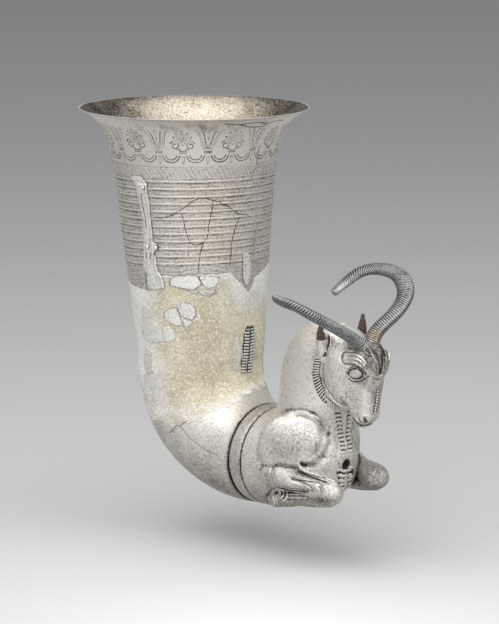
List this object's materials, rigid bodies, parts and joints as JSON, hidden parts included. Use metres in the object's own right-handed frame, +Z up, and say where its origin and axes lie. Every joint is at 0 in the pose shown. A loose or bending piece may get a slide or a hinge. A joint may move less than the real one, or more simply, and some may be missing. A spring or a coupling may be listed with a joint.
{
  "type": "rhyton",
  "caption": "Silver drinking horn with a flared, chased and ridged beaker, a patched elbow and the forepart of a kneeling antelope with ribbed horns and a pouring spout in its chest.",
  "frame": {"origin": "Underside of the sleeve that joins the horn to the animal, where a stand carries it.", "axes": "+X is the way the animal faces, +Y is its left side, +Z is up with the rim level."},
  "size_m": [0.2472, 0.1454, 0.2404],
  "materials": {
    "silver_sheet": "old tarnished silver sheet, hammered and chased, softly polished",
    "horn_silver": "dark tarnished cast silver with worn ribs",
    "fill_resin": "matt speckled beige and olive restoration fill",
    "ear_corrosion": "dull brown corrosion crust on broken silver"
  },
  "bodies": {
    "root": {"beaker_wall": "silver_sheet", "fill_shell": "fill_resin", "elbow_shell": "silver_sheet", "fragment_upper": "silver_sheet", "fragment_round_a": "silver_sheet", "fragment_round_b": "silver_sheet", "fragment_round_c": "silver_sheet", "fragment_flank_a": "silver_sheet", "fragment_flank_b": "silver_sheet", "fragment_strip": "silver_sheet", "fragment_feather": "silver_sheet", "strap_long": "silver_sheet", "strap_short": "silver_sheet", "strap_rivet_1": "silver_sheet", "strap_rivet_2": "silver_sheet", "strap_rivet_3": "silver_sheet", "joint_sleeve": "silver_sheet", "protome_shell": "silver_sheet", "spout_ring": "silver_sheet", "head_shell": "silver_sheet", "ruff_strip": "silver_sheet", "antelope_horn_right": "horn_silver", "antelope_horn_left": "horn_silver", "ear_right": "ear_corrosion", "ear_left": "ear_corrosion", "foreleg_right": "silver_sheet", "foreleg_left": "silver_sheet"}
  },
  "joints": []
}
